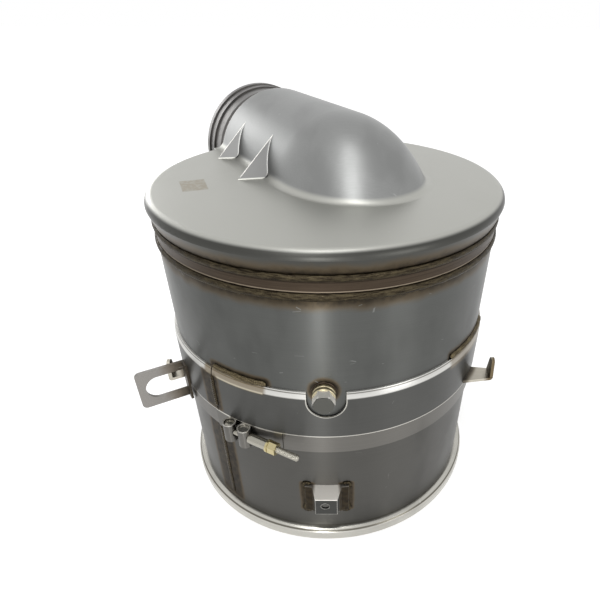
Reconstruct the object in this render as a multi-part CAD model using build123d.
from build123d import *
import math
import os

# Catalyst module: an inlet section with an elbow hood pressed into its cover, and below it a
# catalyst section, held together by a V-section clamp with a T-bolt.
# Millimetres, +Z up. The origin is the centre of the outlet flange face, on the canister's axis.
# The port plug faces -Y. An azimuth is measured from -Y toward +X, in degrees.

# Canister
BARREL_R = 155.0
BARREL_WALL = 1.8
LOWER_BARREL_H = 109.1
UPPER_BARREL_H = 135.2

# Outlet flange, rolled and turned
OUTLET_LIP_REACH = 8.0
OUTLET_LIP_CHAMFER = 3.0
OUTLET_BORE_INSET = 5.0
OUTLET_SHOULDER_Z = 15.6
OUTLET_LIP_H = 9.0
OUTLET_SPIGOT_H = 10.0
OUTLET_BULGE = 0.3

# Catalyst brick, its mat and its can
BRICK_SPACE = 15.3
BRICK_H = 101.6
BRICK_Z = 20.0
MAT_T = 4.8
MAT_INSET = 5.0
CAN_WALL = 1.5
CAN_LIP = 7.0
CAN_BOTTOM_Z = 8.0
CAN_TOP_GAP = 1.5

# Machined flanges of the clamp joint
JOINT_LIP_INSET = 1.2
JOINT_CONE_W = 4.8
JOINT_LIP_H = 5.4
JOINT_HALF_H = 10.9
JOINT_SPIGOT_H = 10.0
JOINT_SHOULDER_T = 1.6
GASKET_T = 1.0
GASKET_INSET = 0.8
CONE_SLOPE = 0.375

# V segments, strap and T-bolt of the clamp
SEGMENT_T = 1.4
SEGMENT_CLEARANCE = 0.8
SEGMENT_COUNT = 3
SEGMENT_GAP_DEG = 9.0
STRAP_T = 1.0
STRAP_H = 20.0
STRAP_Z_ABOVE_JOINT = -0.3
CLAMP_AZ = -28.2
BOLT_R = 3.0
BOLT_TAIL = 62.0
TRUNNION_R = 5.0
TRUNNION_H = 17.0
TRUNNION_LEFT = -9.0
TRUNNION_RIGHT = 7.0
LOOP_TAB = 40.4
LOOP_TAB_LEFT = 30.0
SLEEVE_R = 4.8
SLEEVE_L = 19.0
NUT_AF = 10.0
NUT_H = 8.0
NUT_COLLAR_R = 5.9
NUT_COLLAR_H = 2.0
FIT = 0.3

# Sheet band welded over the joint
BAND_H = 48.5
BAND_STANDOFF = 1.9
BAND_WALL = 1.5
BAND_SHOULDER_H = 6.7
BAND_OVERHANG = 0.8
BAND_SEAM_AZ = -38.0
BAND_SEAM_GAP = 1.2
BAND_BULGE_R = 0.3
BAND_BULGE_Z = 0.5
U_AZ = 1.2
U_WIDTH = 33.0
U_ABOVE_BARREL_EDGE = 38.8

# Sensor port
PORT_AZ = 0.6
PORT_ABOVE_BARREL_EDGE = 48.8
PORT_BOSS_R = 10.1
PORT_BOSS_STANDOFF = 1.6
PORT_THREAD_R = 7.0
WASHER_R = 9.5
WASHER_T = 3.8
PLUG_AF = 16.0
PLUG_HEX_H = 9.0
PLUG_SHANK_L = 14.0

# Closing ring and the two weld beads round it
CLOSING_RING_H = 14.9
CLOSING_RING_T = 5.0
UPPER_BEAD_H = 5.6
LOWER_BEAD_H = 7.0
BEAD_CROWN = 1.9

# Cover
COVER_WALL = 2.0
SKIRT_H = 21.4
RIM_OVERHANG = 4.0
RIM_CORNER_R = 7.0

# Elbow hood, in a frame whose T axis points from the canister's axis to the inlet
INLET_DEG = 120.6
HOOD_CLEARANCE = 8.5
HOOD_SIDE = 20.0
HOOD_DROP = 16.5
ELBOW_T = 12.0
ELBOW_INSET = 20.0
MOUTH_INSET = 6.0
HOOD_FILLET = 9.0

# Pressed darts on the hood's flank: place along T and height of the top end, place and reach of
# the tip on the cover's plate, and half the width at the flank
DARTS = [
    (113.0, 30.0, 107.3, 85.6, 8.5),
    (46.5, 31.0, 32.1, 92.7, 8.5),
]
DART_TOP_RUN = 1.3
DART_FOOT_RUN = 1.7
DART_ROOT_WALLS = 4

# Inlet neck and its turned flange
NECK_R = 60.0
NECK_WALL = 2.0
NECK_INSET = 27.0
FLANGE_GAP = 1.0
FLANGE_L = 45.0
FLANGE_SEAT_L = 13.0
FLANGE_LIP_T = 7.0
FLANGE_LIP_L = 8.0
FLANGE_LIP_CHAMFER = 1.4
FLANGE_STEP_L = 12.0
FLANGE_COLLAR_T = 4.0

# Inlet liner, flow plate and insulation
LINER_TOP_GAP = 5.0
FLOW_PLATE_ABOVE_EDGE = 75.5
FLOW_PLATE_T = 2.0
FLOW_HOLE_R = 10.0
FLOW_HOLE_PITCH = 36.0
FLOW_HOLE_RINGS = 3
INSULATION_INSET = 4.0

# Lower front bracket
BRACKET_X = 1.6
BRACKET_REACH = 17.0
BRACKET_FRONT_W = 20.6
BRACKET_ROOT_W = 29.0
BRACKET_ABOVE_SHOULDER = 62.4
BRACKET_FRONT_H = 21.5
BRACKET_SIDE_H = 36.0
BRACKET_T = 2.5
BRACKET_FLANGE_W = 6.5
BRACKET_HOLE_R = 4.0
BRACKET_HOLE_X = 0.6
BRACKET_HOLE_DROP = 9.8
BRACKET_BEAD_R = 2.2

# Slotted lug on the left and the two hooks
LUG_AZ = -60.0
LUG_T = 3.5
LUG_REACH = 47.0
LUG_ABOVE_BAND_EDGE = 22.3
LUG_H = 41.0
LUG_SLOT_H = 24.0
LUG_RIM = 7.0
LUG_CORNER_R = 5.0
LUG_FOOT_T = 2.5
LUG_FOOT_DEG = 3.4
HOOK_AZ = 61.3
HOOK_T = 3.0
HOOK_ROOT_W = 22.0
HOOK_LIP_W = 15.0
HOOK_REACH_RIGHT = 23.0
HOOK_REACH_LEFT = 16.0
HOOK_ABOVE_BAND_EDGE = 4.3
HOOK_LIP_H = 18.5
HOOK_TIP_R = 4.5
HOOK_LUG_GAP = 0.6

# Seam welds
SEAM_BEAD_W = 5.0
SEAM_BEAD_CROWN = 1.2
LOWER_SEAM_AZ = -40.0
EDGE_BEAD_H = 4.6
EDGE_BEAD_W = 3.0
EDGE_BEAD_BULGE_R = 0.8
EDGE_BEAD_BULGE_Z = 0.45
EDGE_BEAD_AZ = [(-37.7, -17.4), (45.6, 75.0)]

# Radii, heights and places that follow from the sizes above
OUTLET_LIP_R = BARREL_R + OUTLET_LIP_REACH
OUTLET_FACE_R = OUTLET_LIP_R - OUTLET_LIP_CHAMFER
OUTLET_BORE_R = BARREL_R - OUTLET_BORE_INSET
BRICK_R = BARREL_R - BRICK_SPACE
JOINT_LIP_R = BARREL_R - JOINT_LIP_INSET
JOINT_NECK_R = JOINT_LIP_R - JOINT_CONE_W
RIM_R = BARREL_R + RIM_OVERHANG
HOOD_R = NECK_R + HOOD_CLEARANCE
ELBOW_R = HOOD_R - ELBOW_INSET
MOUTH_T = BARREL_R - MOUTH_INSET
NECK_INNER_T = BARREL_R - NECK_INSET
FLANGE_START_T = RIM_R + FLANGE_GAP
FLANGE_FACE_T = FLANGE_START_T + FLANGE_L
NECK_OUTER_T = FLANGE_FACE_T - FLANGE_SEAT_L
FLANGE_LIP_R = NECK_R + FLANGE_LIP_T
FLANGE_STEP_R = FLANGE_LIP_R - FLANGE_LIP_CHAMFER
FLANGE_COLLAR_R = NECK_R + FLANGE_COLLAR_T
LOWER_TOP_Z = OUTLET_SHOULDER_Z + LOWER_BARREL_H
JOINT_Z = LOWER_TOP_Z + JOINT_HALF_H
UPPER_BOTTOM_Z = JOINT_Z + JOINT_HALF_H
UPPER_TOP_Z = UPPER_BOTTOM_Z + UPPER_BARREL_H
SKIRT_BOTTOM_Z = UPPER_TOP_Z + CLOSING_RING_H
PLATE_Z = SKIRT_BOTTOM_Z + SKIRT_H
INLET_Z = PLATE_Z - HOOD_DROP
BARREL_IN_R = BARREL_R - BARREL_WALL
CAN_IN_R = BRICK_R + MAT_T
CAN_R = CAN_IN_R + CAN_WALL
BAND_IN_R = BARREL_R + BAND_STANDOFF
BAND_R = BAND_IN_R + BAND_WALL
BAND_BOTTOM_Z = UPPER_BOTTOM_Z - BAND_OVERHANG
BAND_TOP_Z = BAND_BOTTOM_Z + BAND_H
SEGMENT_IN_R = JOINT_LIP_R + SEGMENT_CLEARANCE
SEGMENT_R = SEGMENT_IN_R + SEGMENT_T
STRAP_R = SEGMENT_R + STRAP_T
STRAP_Z = JOINT_Z + STRAP_Z_ABOVE_JOINT
BOLT_Y = -(STRAP_R + STRAP_T + TRUNNION_R)
SLEEVE_START = TRUNNION_RIGHT + TRUNNION_R + STRAP_T
NUT_START = SLEEVE_START + SLEEVE_L
PORT_Z = UPPER_BOTTOM_Z + PORT_ABOVE_BARREL_EDGE
PORT_FACE_R = BARREL_R + PORT_BOSS_STANDOFF
U_Z = UPPER_BOTTOM_Z + U_ABOVE_BARREL_EDGE
FLOW_PLATE_Z = UPPER_BOTTOM_Z + FLOW_PLATE_ABOVE_EDGE
BRACKET_TOP_Z = OUTLET_SHOULDER_Z + BRACKET_ABOVE_SHOULDER
LUG_TOP_Z = BAND_BOTTOM_Z + LUG_ABOVE_BAND_EDGE
HOOK_SHELF_Z = BAND_BOTTOM_Z + HOOK_ABOVE_BAND_EDGE
TALL = 2.0 * PLATE_Z
WIDE = 2.0 * BARREL_R


def lathe(*edges):
    """Turn a closed outline, drawn as radius and height, about the canister's axis."""
    return revolve(Plane.XZ * make_face(list(edges)), axis=Axis.Z)


def outline(points):
    """Points given as (radius, height), joined by straight edges and closed."""
    return Polyline(points, close=True)


def ring(inner_r, outer_r, bottom, top):
    """A plain ring between two radii and two heights."""
    corners = [(inner_r, bottom), (outer_r, bottom), (outer_r, top), (inner_r, top)]
    return lathe(outline(corners))


def disc(radius, bottom, top):
    """A plain disc between two heights."""
    base = Align.CENTER, Align.CENTER, Align.MIN
    return Pos(0, 0, bottom) * Cylinder(radius, top - bottom, align=base)


def sector(edges, start_az, end_az):
    """Turn an outline only from one azimuth to another."""
    face = Rot(0, 0, start_az - 90) * (Plane.XZ * make_face(list(edges)))
    return revolve(face, axis=Axis.Z, revolution_arc=end_az - start_az)


def at_azimuth(shape, azimuth):
    """Turn a shape that was made at the front, facing -Y, to its azimuth."""
    return Rot(0, 0, azimuth) * shape


def at_inlet(shape):
    """Turn a shape from the inlet frame, with X along T and Z up, to its place."""
    return Rot(0, 0, INLET_DEG) * shape


def block(x0, x1, y0, y1, z0, z1):
    """A box between two corners."""
    size = Box(x1 - x0, y1 - y0, z1 - z0)
    return Pos((x0 + x1) / 2, (y0 + y1) / 2, (z0 + z1) / 2) * size


def radial_rod(radius, inner, outer, z, azimuth):
    """A round bar along a radius of the canister, from one radius to another."""
    rod = Cylinder(radius, outer - inner)
    return at_azimuth(Pos(0, -(inner + outer) / 2, z) * Rot(90, 0, 0) * rod, azimuth)


def pipe_rod(radius, t0, t1):
    """A round bar along the inlet's axis."""
    rod = Rot(0, 90, 0) * Cylinder(radius, t1 - t0)
    return at_inlet(Pos((t0 + t1) / 2, -HOOD_SIDE, INLET_Z) * rod)


def vertical_rod(radius, x, y, z0, z1):
    """An upright round bar."""
    base = Align.CENTER, Align.CENTER, Align.MIN
    return Pos(x, y, z0) * Cylinder(radius, z1 - z0, align=base)


def outer_profile(offset, top):
    """The cover's round outline as a full turned body, set in by an offset and run up to top."""
    rim = RIM_R - offset
    plate = PLATE_Z - offset
    corner = RIM_CORNER_R - offset
    straight = SKIRT_BOTTOM_Z + UPPER_BEAD_H / 2
    foot = BARREL_R - offset
    sides = [(0, SKIRT_BOTTOM_Z), (foot, SKIRT_BOTTOM_Z), (foot, straight)]
    if top > plate:
        return lathe(outline(sides + [(rim, plate - corner), (rim, top), (0, top)]))
    middle = corner * (1 - math.sqrt(0.5))
    rise = Polyline(sides + [(rim, plate - corner)])
    turn = ThreePointArc((rim, plate - corner), (rim - middle, plate - middle), (rim - corner, plate))
    over = Polyline((rim - corner, plate), (0, plate), (0, SKIRT_BOTTOM_Z))
    return lathe(rise, turn, over)


def hood_pipe(radius):
    """The hood as a solid: a straight pipe and the outer part of a tight elbow turning down."""
    axis_z = INLET_Z - ELBOW_R
    half = math.sqrt(radius ** 2 - ELBOW_R ** 2)
    left = (ELBOW_T, -HOOD_SIDE - half, axis_z)
    right = (ELBOW_T, -HOOD_SIDE + half, axis_z)
    crown = (ELBOW_T, -HOOD_SIDE, INLET_Z + radius)
    section = make_face([ThreePointArc(left, crown, right), Line(right, left)])
    straight = extrude(section, amount=MOUTH_T + HOOD_R - ELBOW_T, dir=(1, 0, 0))
    elbow = revolve(section, axis=Axis((ELBOW_T, 0, axis_z), (0, -1, 0)), revolution_arc=90)
    return straight + elbow


def dart(apex_t, apex_h, tip_t, reach, half_width, inset):
    """A pressed dart: a wedge from the hood's flank down to a tip on the cover's plate."""
    flank = math.sqrt(HOOD_R ** 2 - (apex_h + HOOD_DROP) ** 2)
    foot_n = math.sqrt(HOOD_R ** 2 - HOOD_DROP ** 2)
    tip = Vector(tip_t, reach - HOOD_SIDE, PLATE_Z)
    apex = Vector(apex_t, flank - HOOD_SIDE, PLATE_Z + apex_h)
    foot_y = foot_n - HOOD_SIDE
    feet = [Vector(tip_t + side * half_width, foot_y, PLATE_Z) for side in (-1, 1)]
    top = tip + (apex - tip) * DART_TOP_RUN
    roots = [tip] + [tip + (foot - tip) * DART_FOOT_RUN for foot in feet]
    sink = 1 + DART_ROOT_WALLS * COVER_WALL / (top.Z - PLATE_Z)
    corners = [top + (root - top) * sink for root in roots] + [top]
    return wedge(corners, inset)


def wedge(corners, inset):
    """A solid with four corners, each of its faces moved inward by an inset."""
    sides = [[corners[k] for k in range(4) if k != left_out] for left_out in range(4)]
    areas = [(b - a).cross(c - a).length / 2 for a, b, c in sides]
    a, b, c = sides[3]
    volume = abs((b - a).cross(c - a).dot(corners[3] - a)) / 6
    middle = sum((p * area for p, area in zip(corners, areas)), Vector(0, 0, 0)) / sum(areas)
    shrink = 1 - inset * sum(areas) / (3 * volume)
    moved = [middle + (p - middle) * shrink for p in corners]
    faces = [[moved[k] for k in range(4) if k != left_out] for left_out in range(4)]
    return Solid(Shell([Face(Wire.make_polygon(face)) for face in faces]))


def cover_form(offset):
    """The cover's solid form, set in by an offset: the plate, the hood blended into it, the darts."""
    plate = PLATE_Z - offset
    half = 2 * RIM_R
    slab = block(-half, half, -half, half, SKIRT_BOTTOM_Z - COVER_WALL, plate)
    body = slab + hood_pipe(HOOD_R - offset)
    base_edges = [e for e in body.edges() if is_hood_foot(e, plate, offset)]
    body = fillet(base_edges, HOOD_FILLET + offset)
    for sizes in DARTS:
        body = body + dart(*sizes, offset)
    above = block(MOUTH_T - offset, half, -half, half, plate, TALL)
    return at_inlet(body - above) & outer_profile(offset, TALL)


def is_hood_foot(edge, plate, offset):
    """True for the edges where the hood rises from the cover's plate."""
    middle = edge.center()
    inside = abs(middle.Y) < 1.6 * HOOD_R and middle.X < MOUTH_T + HOOD_R - 1
    return abs(middle.Z - plate) < 0.01 and inside


def inlet_cover():
    """One pressing: plate, rolled rim, skirt, elbow hood and darts."""
    shell = cover_form(0) & rim_limit(0)
    hollow = cover_form(COVER_WALL) & rim_limit(COVER_WALL)
    below = disc(BARREL_R - COVER_WALL, SKIRT_BOTTOM_Z - 1, SKIRT_BOTTOM_Z + 1)
    return shell - hollow - below - pipe_rod(NECK_R, NECK_INNER_T, FLANGE_FACE_T)


def rim_limit(offset):
    """The rounded rim, with the hood left free to stand above it."""
    rounded = outer_profile(offset, 0)
    round_hood = at_inlet(hood_pipe(HOOD_R + HOOD_FILLET - offset))
    above = disc(RIM_R - RIM_CORNER_R, PLATE_Z - 2 * COVER_WALL, TALL)
    return rounded + (round_hood & disc(RIM_R, SKIRT_BOTTOM_Z, TALL)) + above


def neck_room():
    """What the inlet neck takes out of every wall that it passes through."""
    return pipe_rod(NECK_R, NECK_INNER_T - NECK_R, FLANGE_FACE_T)


def inlet_neck():
    """The tube that carries the gas through the hood's mouth."""
    bore = pipe_rod(NECK_R - NECK_WALL, NECK_INNER_T - 1, NECK_OUTER_T + 1)
    return pipe_rod(NECK_R, NECK_INNER_T, NECK_OUTER_T) - bore


def inlet_flange():
    """The turned collar on the neck, with a step and a lip for the pipe clamp."""
    lip_t = FLANGE_FACE_T - FLANGE_LIP_L
    step_t = lip_t - FLANGE_STEP_L
    bore = NECK_R - NECK_WALL
    chamfer = FLANGE_LIP_CHAMFER
    points = [
        (FLANGE_START_T, NECK_R),
        (FLANGE_START_T, NECK_R + chamfer),
        (FLANGE_START_T + FLANGE_LIP_L, FLANGE_COLLAR_R),
        (step_t, FLANGE_COLLAR_R),
        (step_t, FLANGE_STEP_R),
        (lip_t, FLANGE_STEP_R),
        (lip_t, FLANGE_LIP_R),
        (FLANGE_FACE_T - chamfer, FLANGE_LIP_R),
        (FLANGE_FACE_T, FLANGE_STEP_R),
        (FLANGE_FACE_T, bore + chamfer),
        (FLANGE_FACE_T - chamfer, bore),
        (NECK_OUTER_T, bore),
        (NECK_OUTER_T, NECK_R),
    ]
    turned = revolve(make_face(Polyline(points, close=True)), axis=Axis.X)
    return at_inlet(Pos(0, -HOOD_SIDE, INLET_Z) * turned)


def closing_ring():
    """The thick ring between the cover's skirt and the upper barrel."""
    inner = BARREL_R - CLOSING_RING_T
    return ring(inner, BARREL_R, UPPER_TOP_Z, SKIRT_BOTTOM_Z) - neck_room()


def ring_bead(middle, height):
    """A weld bead all round the canister, up to the inlet neck."""
    low = (BARREL_R, middle - height / 2)
    high = (BARREL_R, middle + height / 2)
    crown = ThreePointArc(high, (BARREL_R + BEAD_CROWN, middle), low)
    return lathe(Line(low, high), crown) - neck_room()


def cover_weld_upper():
    """The bead between the cover's skirt and the closing ring."""
    return ring_bead(SKIRT_BOTTOM_Z, UPPER_BEAD_H)


def cover_weld_lower():
    """The bead between the closing ring and the upper barrel."""
    return ring_bead(UPPER_TOP_Z, LOWER_BEAD_H)


def upper_barrel():
    """The inlet section's shell, open to the neck at the rear and to the port at the front."""
    tube = ring(BARREL_IN_R, BARREL_R, UPPER_BOTTOM_Z, UPPER_TOP_Z)
    return tube - neck_room() - port_rod(PORT_BOSS_R)


def inlet_liner():
    """The inner shell of the inlet section, hung from the closing ring by its turned-out edge."""
    top = SKIRT_BOTTOM_Z - LINER_TOP_GAP
    tube = ring(CAN_IN_R, CAN_R, JOINT_Z + GASKET_T / 2 + CAN_TOP_GAP, top)
    edge = ring(CAN_IN_R, BARREL_R - CLOSING_RING_T, top - CAN_WALL, top)
    return tube + edge - neck_room() - port_rod(PORT_THREAD_R)


def upper_insulation():
    """Fibre between the liner and the upper barrel."""
    fill = ring(CAN_R, BARREL_IN_R, UPPER_BOTTOM_Z + JOINT_SPIGOT_H, UPPER_TOP_Z - INSULATION_INSET)
    return fill - neck_room() - port_rod(PORT_BOSS_R)


def flow_plate():
    """A perforated plate across the liner, with its holes in rings round a middle one."""
    plate = disc(CAN_IN_R, FLOW_PLATE_Z, FLOW_PLATE_Z + FLOW_PLATE_T)
    drill = disc(FLOW_HOLE_R, FLOW_PLATE_Z - 1, FLOW_PLATE_Z + FLOW_PLATE_T + 1)
    plate = plate - drill
    for turn in range(1, FLOW_HOLE_RINGS + 1):
        plate = plate - [spot * drill for spot in PolarLocations(turn * FLOW_HOLE_PITCH, 6 * turn)]
    return plate


def port_rod(radius):
    """A bar through every wall at the port."""
    return radial_rod(radius, BRICK_R, WIDE, PORT_Z, PORT_AZ)


def at_port(shape):
    """Stand a shape, made along Z with its distance from the canister's axis, in the port."""
    return at_azimuth(Pos(0, 0, PORT_Z) * Rot(90, 0, 0) * shape, PORT_AZ)


def sensor_boss():
    """The threaded boss for a sensor, through the upper barrel."""
    edge = PORT_BOSS_R - WASHER_R
    points = [
        (PORT_THREAD_R, CAN_R + FIT),
        (PORT_BOSS_R, CAN_R + FIT),
        (PORT_BOSS_R, PORT_FACE_R - edge),
        (WASHER_R, PORT_FACE_R),
        (PORT_THREAD_R, PORT_FACE_R),
    ]
    return at_port(lathe(outline(points)))


def sealing_washers():
    """Two alike washers under the plug, with rounded edges."""
    blank = ring(PORT_THREAD_R, WASHER_R, 0, WASHER_T)
    rims = blank.edges().filter_by(GeomType.CIRCLE).sort_by(SortBy.RADIUS)[-2:]
    washer = fillet(rims, WASHER_T / 3)
    return Compound([at_port(Pos(0, 0, PORT_FACE_R + k * WASHER_T) * washer) for k in range(2)])


def port_plug():
    """The hexagon plug that closes the sensor port."""
    seat = PORT_FACE_R + 2 * WASHER_T
    corner = PLUG_AF / math.sqrt(3)
    prism = extrude(RegularPolygon(PLUG_AF / 2, 6, major_radius=False), PLUG_HEX_H)
    bevel = corner - PLUG_AF / 2
    side = [(0, 0), (corner, 0), (corner, PLUG_HEX_H - bevel)]
    points = side + [(PLUG_AF / 2, PLUG_HEX_H), (0, PLUG_HEX_H)]
    head = Pos(0, 0, seat) * (prism & lathe(outline(points)))
    return at_port(head + disc(PORT_THREAD_R, seat - PLUG_SHANK_L, seat))


def joint_band():
    """The sheet band over the joint: its top is drawn in to the barrel, and a U clears the port."""
    shoulder = BAND_TOP_Z - BAND_SHOULDER_H
    half = U_WIDTH / 2
    rim = BARREL_R + BAND_WALL
    drawn_in = BAND_BULGE_R * BAND_STANDOFF
    out_mid = (BAND_R - drawn_in, BAND_TOP_Z - BAND_BULGE_Z * BAND_SHOULDER_H)
    in_mid = (BAND_IN_R - drawn_in, out_mid[1] - BAND_WALL / 2)
    inner = [(BAND_IN_R, shoulder), (BAND_IN_R, BAND_BOTTOM_Z)]
    profile = [
        Polyline(inner + [(BAND_R, BAND_BOTTOM_Z), (BAND_R, shoulder)]),
        ThreePointArc((BAND_R, shoulder), out_mid, (rim, BAND_TOP_Z)),
        Polyline((rim, BAND_TOP_Z), (BARREL_R, BAND_TOP_Z), (BARREL_R, BAND_TOP_Z - BAND_WALL)),
        ThreePointArc((BARREL_R, BAND_TOP_Z - BAND_WALL), in_mid, (BAND_IN_R, shoulder)),
    ]
    slot = block(-half, half, -WIDE, 0, U_Z, BAND_TOP_Z + 1)
    slot = at_azimuth(slot, U_AZ) + radial_rod(half, BRICK_R, WIDE, U_Z, U_AZ)
    gap = block(-BAND_SEAM_GAP / 2, BAND_SEAM_GAP / 2, -WIDE, 0, 0, TALL)
    return lathe(*profile) - slot - at_azimuth(gap, BAND_SEAM_AZ)


def upright_bead(radius, azimuth, bottom, top):
    """A weld bead that runs up a cylinder's outside."""
    rod_r = (SEAM_BEAD_W ** 2 / 4 + SEAM_BEAD_CROWN ** 2) / (2 * SEAM_BEAD_CROWN)
    rod = vertical_rod(rod_r, 0, rod_r - radius - SEAM_BEAD_CROWN, bottom, top)
    return at_azimuth(rod - disc(radius, bottom - 1, top + 1), azimuth)


def band_seam_weld():
    """The bead that closes the band's seam, with its root in the gap."""
    bottom = BAND_BOTTOM_Z + SEAM_BEAD_W
    top = BAND_TOP_Z - BAND_SHOULDER_H
    half = BAND_SEAM_GAP / 2
    root = block(-half, half, -BAND_R - SEAM_BEAD_CROWN / 2, -BAND_IN_R, bottom, top)
    return upright_bead(BAND_R, BAND_SEAM_AZ, bottom, top) + at_azimuth(root, BAND_SEAM_AZ)


def band_edge_welds():
    """Two runs of bead in the corner between the band's top edge and the barrel."""
    rim = (BARREL_R + BAND_WALL, BAND_TOP_Z)
    bulge_r = BARREL_R + EDGE_BEAD_BULGE_R * EDGE_BEAD_W
    bulge = (bulge_r, BAND_TOP_Z + EDGE_BEAD_BULGE_Z * EDGE_BEAD_H)
    high = (BARREL_R, BAND_TOP_Z + EDGE_BEAD_H)
    profile = [Polyline(high, (BARREL_R, BAND_TOP_Z), rim), ThreePointArc(rim, bulge, high)]
    return Compound([sector(profile, start, end) for start, end in EDGE_BEAD_AZ])


def cone_w(radius):
    """Distance from the joint's plane to the flanges' cone, at a radius."""
    return JOINT_LIP_H + (JOINT_LIP_R - radius) * CONE_SLOPE


def joint_flange(side):
    """One turned flange of the joint; side is 1 above the joint's plane and -1 below it."""
    shoulder = JOINT_HALF_H - JOINT_SHOULDER_T
    points = [
        (CAN_R, GASKET_T / 2),
        (JOINT_LIP_R, GASKET_T / 2),
        (JOINT_LIP_R, JOINT_LIP_H),
        (JOINT_NECK_R, cone_w(JOINT_NECK_R)),
        (JOINT_NECK_R, shoulder),
        (BARREL_R, shoulder),
        (BARREL_R, JOINT_HALF_H),
        (BARREL_IN_R, JOINT_HALF_H),
        (BARREL_IN_R, JOINT_HALF_H + JOINT_SPIGOT_H),
        (CAN_R, JOINT_HALF_H + JOINT_SPIGOT_H),
    ]
    return lathe(outline([(r, JOINT_Z + side * w) for r, w in points]))


def upper_joint_flange():
    """The joint's flange on the inlet section."""
    return joint_flange(1)


def lower_joint_flange():
    """The joint's flange on the catalyst section."""
    return joint_flange(-1)


def joint_gasket():
    """The flat gasket between the two joint flanges."""
    inner = CAN_R + GASKET_INSET
    return ring(inner, JOINT_LIP_R - GASKET_INSET, JOINT_Z - GASKET_T / 2, JOINT_Z + GASKET_T / 2)


def clamp_segments():
    """The V sections that draw the flanges' cones together."""
    end_r = JOINT_NECK_R + SEGMENT_CLEARANCE
    leg = SEGMENT_T * math.sqrt(1 + CONE_SLOPE ** 2)
    half = [
        (SEGMENT_R, cone_w(SEGMENT_IN_R) + leg),
        (end_r, cone_w(end_r) + leg),
        (end_r, cone_w(end_r)),
        (SEGMENT_IN_R, cone_w(SEGMENT_IN_R)),
    ]
    lower = [(r, -w) for r, w in reversed(half)]
    profile = outline([(r, JOINT_Z + w) for r, w in half + lower])
    pitch = 360 / SEGMENT_COUNT
    starts = [CLAMP_AZ + SEGMENT_GAP_DEG / 2 + k * pitch for k in range(SEGMENT_COUNT)]
    return Compound([sector([profile], start, start + pitch - SEGMENT_GAP_DEG) for start in starts])


def chord_deg(x, radius):
    """The angle at which a circle is x away from its middle line."""
    return math.degrees(math.asin(x / radius))


def clamp_strap():
    """The strap round the segments, with both ends folded into loops and back on themselves."""
    low = STRAP_Z - STRAP_H / 2
    high = STRAP_Z + STRAP_H / 2
    start = chord_deg(TRUNNION_RIGHT, STRAP_R)
    end = 360 + chord_deg(TRUNNION_LEFT, STRAP_R)
    strap = sector([strap_outline(SEGMENT_R, low, high)], start, end)
    right_tab = sector([strap_outline(STRAP_R, low, high)], start, chord_deg(LOOP_TAB, STRAP_R))
    left_tab = sector([strap_outline(STRAP_R, low, high)], -chord_deg(LOOP_TAB_LEFT, STRAP_R), end - 360)
    body = strap + right_tab + left_tab
    for x in (TRUNNION_LEFT, TRUNNION_RIGHT):
        body = body + vertical_rod(TRUNNION_R + STRAP_T, x, BOLT_Y, low, high)
    for x in (TRUNNION_LEFT, TRUNNION_RIGHT):
        body = body - vertical_rod(TRUNNION_R, x, BOLT_Y, low - 1, high + 1)
    room = BOLT_R + FIT
    slot_end = TRUNNION_RIGHT + TRUNNION_R + STRAP_T + 1
    slot = block(TRUNNION_LEFT, slot_end, BOLT_Y - room, BOLT_Y + room, JOINT_Z - room, JOINT_Z + room)
    return at_azimuth(body - slot, CLAMP_AZ)


def strap_outline(inner_r, low, high):
    """The strap's flat section on a radius."""
    outer_r = inner_r + STRAP_T
    return outline([(inner_r, low), (outer_r, low), (outer_r, high), (inner_r, high)])


def bolt_rod(radius, x0, x1):
    """A bar along the T-bolt's axis, in the clamp's own frame."""
    return Pos((x0 + x1) / 2, BOLT_Y, JOINT_Z) * Rot(0, 90, 0) * Cylinder(radius, x1 - x0)


def cross_bar(x):
    """A trunnion as a plain upright bar in a loop."""
    return vertical_rod(TRUNNION_R, x, BOLT_Y, STRAP_Z - TRUNNION_H / 2, STRAP_Z + TRUNNION_H / 2)


def clamp_t_bolt():
    """The T-bolt: its head lies in the left loop and its shank runs out past the nut."""
    tip = Pos(BOLT_TAIL, BOLT_Y, JOINT_Z) * Sphere(BOLT_R)
    bolt = cross_bar(TRUNNION_LEFT) + bolt_rod(BOLT_R, TRUNNION_LEFT, BOLT_TAIL) + tip
    return at_azimuth(bolt, CLAMP_AZ)


def clamp_trunnion():
    """The drilled bar in the right loop, which the bolt pulls on."""
    bore = bolt_rod(BOLT_R, TRUNNION_RIGHT - 2 * TRUNNION_R, TRUNNION_RIGHT + 2 * TRUNNION_R)
    return at_azimuth(cross_bar(TRUNNION_RIGHT) - bore, CLAMP_AZ)


def clamp_spacer():
    """The sleeve between the trunnion and the nut."""
    sleeve = bolt_rod(SLEEVE_R, SLEEVE_START, SLEEVE_START + SLEEVE_L)
    return at_azimuth(sleeve - bolt_rod(BOLT_R, SLEEVE_START - 1, NUT_START + 1), CLAMP_AZ)


def clamp_nut():
    """The lock nut, with its collar on the sleeve's side."""
    prism = extrude(RegularPolygon(NUT_AF / 2, 6, major_radius=False), NUT_COLLAR_H + NUT_H)
    upright = prism + disc(NUT_COLLAR_R, 0, NUT_COLLAR_H)
    nut = Pos(NUT_START, BOLT_Y, JOINT_Z) * Rot(0, 90, 0) * upright
    return at_azimuth(nut - bolt_rod(BOLT_R, NUT_START - 1, BOLT_TAIL), CLAMP_AZ)


def lower_barrel():
    """The catalyst section's shell."""
    return ring(BARREL_IN_R, BARREL_R, OUTLET_SHOULDER_Z, LOWER_TOP_Z)


def lower_seam_weld():
    """The long seam of the lower barrel."""
    bottom = OUTLET_SHOULDER_Z + SEAM_BEAD_W
    return upright_bead(BARREL_R, LOWER_SEAM_AZ, bottom, LOWER_TOP_Z - SEAM_BEAD_W)


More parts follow.
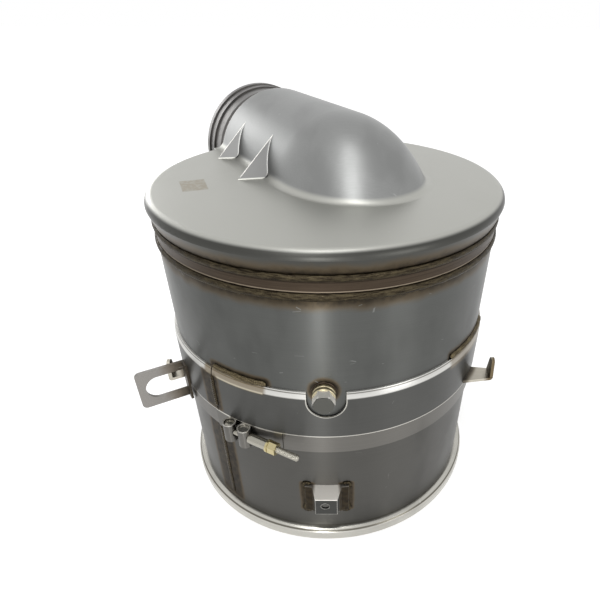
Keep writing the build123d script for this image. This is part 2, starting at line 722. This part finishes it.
def catalyst_can():
    """The inner can, with a lip at its outlet end that the brick stands on."""
    tube = ring(CAN_IN_R, CAN_R, CAN_BOTTOM_Z, JOINT_Z - GASKET_T / 2 - CAN_TOP_GAP)
    return tube + ring(CAN_IN_R - CAN_LIP, CAN_R, BRICK_Z - CAN_WALL, BRICK_Z)


def support_mat():
    """The fibre mat that holds the brick in its can."""
    return ring(BRICK_R, CAN_IN_R, BRICK_Z + MAT_INSET, BRICK_Z + BRICK_H - MAT_INSET)


def catalyst_brick():
    """The round ceramic brick; its fine cells aren't cut."""
    return disc(BRICK_R, BRICK_Z, BRICK_Z + BRICK_H)


def lower_insulation():
    """Fibre between the can and the lower barrel."""
    bottom = OUTLET_SHOULDER_Z + OUTLET_SPIGOT_H
    return ring(CAN_R, BARREL_IN_R, bottom, LOWER_TOP_Z - JOINT_SPIGOT_H - INSULATION_INSET)


def outlet_flange():
    """The flange at the bottom: a rounded lip outside, a seat for the barrel and the can inside."""
    spigot = OUTLET_SHOULDER_Z + OUTLET_SPIGOT_H
    seat_r = BARREL_R + BARREL_WALL
    bulge_r = OUTLET_LIP_R - OUTLET_BULGE * (OUTLET_LIP_R - seat_r)
    bulge_z = OUTLET_SHOULDER_Z - OUTLET_BULGE * (OUTLET_SHOULDER_Z - OUTLET_LIP_H)
    low = [
        (seat_r, OUTLET_SHOULDER_Z),
        (BARREL_IN_R, OUTLET_SHOULDER_Z),
        (BARREL_IN_R, spigot),
        (CAN_R, spigot),
        (CAN_R, CAN_BOTTOM_Z),
        (OUTLET_BORE_R, CAN_BOTTOM_Z - (OUTLET_BORE_R - CAN_R)),
        (OUTLET_BORE_R, 0),
        (OUTLET_FACE_R, 0),
        (OUTLET_LIP_R, OUTLET_LIP_CHAMFER),
        (OUTLET_LIP_R, OUTLET_LIP_H),
    ]
    return lathe(Polyline(low), ThreePointArc(low[-1], (bulge_r, bulge_z), low[0]))


def bracket_prism(inset, bottom, top):
    """The bracket's hollow or solid body in plan: wide at the barrel, narrow at the front."""
    front_y = -(BARREL_R + BRACKET_REACH) + inset
    front = BRACKET_FRONT_W / 2 - inset
    root = BRACKET_ROOT_W / 2 - inset
    flare = (root - front) / BRACKET_REACH
    back_y = -BARREL_R + BRACKET_REACH
    back = root + flare * BRACKET_REACH
    plan = Polyline((front, front_y), (back, back_y), (-back, back_y), (-front, front_y), close=True)
    return Pos(BRACKET_X, 0, bottom) * extrude(make_face(plan), top - bottom)


def lower_bracket():
    """The folded hat bracket low on the front, with a hole in its face."""
    low = BRACKET_TOP_Z - BRACKET_SIDE_H
    half = BRACKET_ROOT_W / 2 + BRACKET_FLANGE_W
    flanges = ring(BARREL_R, BARREL_R + BRACKET_T, low, BRACKET_TOP_Z)
    flanges = flanges & block(BRACKET_X - half, BRACKET_X + half, -WIDE, 0, low, BRACKET_TOP_Z)
    body = bracket_prism(0, low, BRACKET_TOP_Z) + flanges
    body = body - bracket_prism(BRACKET_T, low - 1, BRACKET_TOP_Z - BRACKET_T)
    front_y = -(BARREL_R + BRACKET_REACH)
    front_low = BRACKET_TOP_Z - BRACKET_FRONT_H
    foot_y = -BARREL_R - BRACKET_T
    front = [(front_y - 1, low - 1), (front_y - 1, front_low), (front_y + BRACKET_T, front_low)]
    under = Polyline(front + [(foot_y, low), (foot_y, low - 1)], close=True)
    ramp = extrude(Plane.YZ * make_face(under), amount=half + abs(BRACKET_X), both=True)
    hole_z = BRACKET_TOP_Z - BRACKET_HOLE_DROP
    hole = Pos(BRACKET_HOLE_X, front_y, hole_z) * Rot(90, 0, 0) * Cylinder(BRACKET_HOLE_R, BRACKET_REACH)
    return body - ramp - hole - disc(BARREL_R, 0, TALL)


def bracket_welds():
    """A bead round the outer edge of each of the bracket's flanges."""
    bracket = lower_bracket()
    low = BRACKET_TOP_Z - BRACKET_SIDE_H
    edge = BRACKET_ROOT_W / 2 + BRACKET_FLANGE_W
    beads = []
    for side in (-1, 1):
        x = BRACKET_X + side * edge
        outer = chord_deg(x, BARREL_R)
        inner = chord_deg(x - side * BRACKET_FLANGE_W, BARREL_R)
        bead = vertical_rod(BRACKET_BEAD_R, x, -math.sqrt(BARREL_R ** 2 - x ** 2), low, BRACKET_TOP_Z)
        start, end = sorted((inner, outer))
        for z in (low, BRACKET_TOP_Z):
            section = Pos(BARREL_R, z) * CenterArc((0, 0), BRACKET_BEAD_R, 0, 360)
            bead = bead + sector([section], start, end)
            bead = bead + Pos(x, -math.sqrt(BARREL_R ** 2 - x ** 2), z) * Sphere(BRACKET_BEAD_R)
        beads.append(bead - disc(BARREL_R, 0, TALL) - bracket)
    return Compound([bead.solid() for bead in beads])


def left_lug():
    """The slotted lifting lug: an upright plate along a radius, with its foot on the band."""
    low = LUG_TOP_Z - LUG_H
    end = BAND_R + LUG_REACH
    half = LUG_T / 2
    plate = block(-half, half, -end, -BAND_R + half, low, LUG_TOP_Z)
    corners = plate.edges().filter_by(Axis.X).sort_by(Axis.Y)[:2]
    plate = fillet(corners, LUG_CORNER_R)
    slot_r = LUG_SLOT_H / 2
    slot_z = LUG_TOP_Z - LUG_H / 2
    round_y = -(end - LUG_RIM - slot_r)
    slot = block(-LUG_T, LUG_T, round_y, -BAND_R - LUG_FOOT_T, slot_z - slot_r, slot_z + slot_r)
    slot = slot + Pos(0, round_y, slot_z) * Rot(0, 90, 0) * Cylinder(slot_r, 2 * LUG_T)
    foot_r = BAND_R + LUG_FOOT_T
    foot = outline([(BAND_R, low), (foot_r, low), (foot_r, LUG_TOP_Z), (BAND_R, LUG_TOP_Z)])
    lug = plate - slot - disc(BAND_R, 0, TALL) + sector([foot], -chord_deg(half, BAND_R), LUG_FOOT_DEG)
    return at_azimuth(lug, LUG_AZ)


def hook(reach):
    """The right hook: a tapered shelf straight out to the side, its end bent up into a lip."""
    turn = math.radians(HOOK_AZ)
    root_x = BAND_R * math.sin(turn)
    middle = -BAND_R * math.cos(turn)
    end = root_x + reach
    low = HOOK_SHELF_Z - HOOK_T
    lip = HOOK_LIP_W / 2
    root = HOOK_ROOT_W / 2
    inner_x = root_x - reach
    inner = 2 * root - lip
    right = [(inner_x, middle - inner), (end, middle - lip)]
    plan = right + [(end, middle + lip), (inner_x, middle + inner)]
    shelf = Pos(0, 0, low) * extrude(make_face(Polyline(plan, close=True)), HOOK_T)
    tip_z = HOOK_SHELF_Z + HOOK_LIP_H - HOOK_TIP_R
    half = [(lip, low), (lip, HOOK_SHELF_Z), (HOOK_TIP_R, tip_z)]
    cheek = [(middle + y, z) for y, z in half] + [(middle - y, z) for y, z in reversed(half)]
    lip_face = make_face(Polyline(cheek, close=True)) + Pos(middle, tip_z) * Circle(HOOK_TIP_R)
    bent = shelf + Pos(end - HOOK_T, 0, 0) * extrude(Plane.YZ * lip_face, HOOK_T)
    corner = bent.edges().filter_by(Axis.Y).sort_by(lambda e: e.center().Z - e.center().X)[0]
    return fillet(corner, HOOK_T) - disc(BAND_R, 0, TALL)


def left_hook():
    """The shorter hook on the left, cut back at the rear face of the lug in front of it."""
    whole = at_azimuth(mirror(hook(HOOK_REACH_LEFT), about=Plane.YZ), U_AZ)
    lug_room = block(-LUG_T / 2 - HOOK_LUG_GAP, WIDE, -WIDE, 0, 0, TALL)
    return whole - at_azimuth(lug_room, LUG_AZ)


def right_hook():
    """The longer hook on the right."""
    return at_azimuth(hook(HOOK_REACH_RIGHT), U_AZ)


PARTS = [
    inlet_cover, inlet_neck, inlet_flange, closing_ring, cover_weld_upper, cover_weld_lower,
    upper_barrel, inlet_liner, upper_insulation, flow_plate, sensor_boss, sealing_washers, port_plug,
    joint_band, band_seam_weld, band_edge_welds, upper_joint_flange, lower_joint_flange, joint_gasket,
    clamp_segments, clamp_strap, clamp_t_bolt, clamp_trunnion, clamp_spacer, clamp_nut,
    lower_barrel, lower_seam_weld, catalyst_can, support_mat, catalyst_brick, lower_insulation,
    outlet_flange, lower_bracket, bracket_welds, left_lug, left_hook, right_hook,
]

os.makedirs("parts", exist_ok=True)
for make in PARTS:
    export_step(make(), f"parts/{make.__name__}.step")
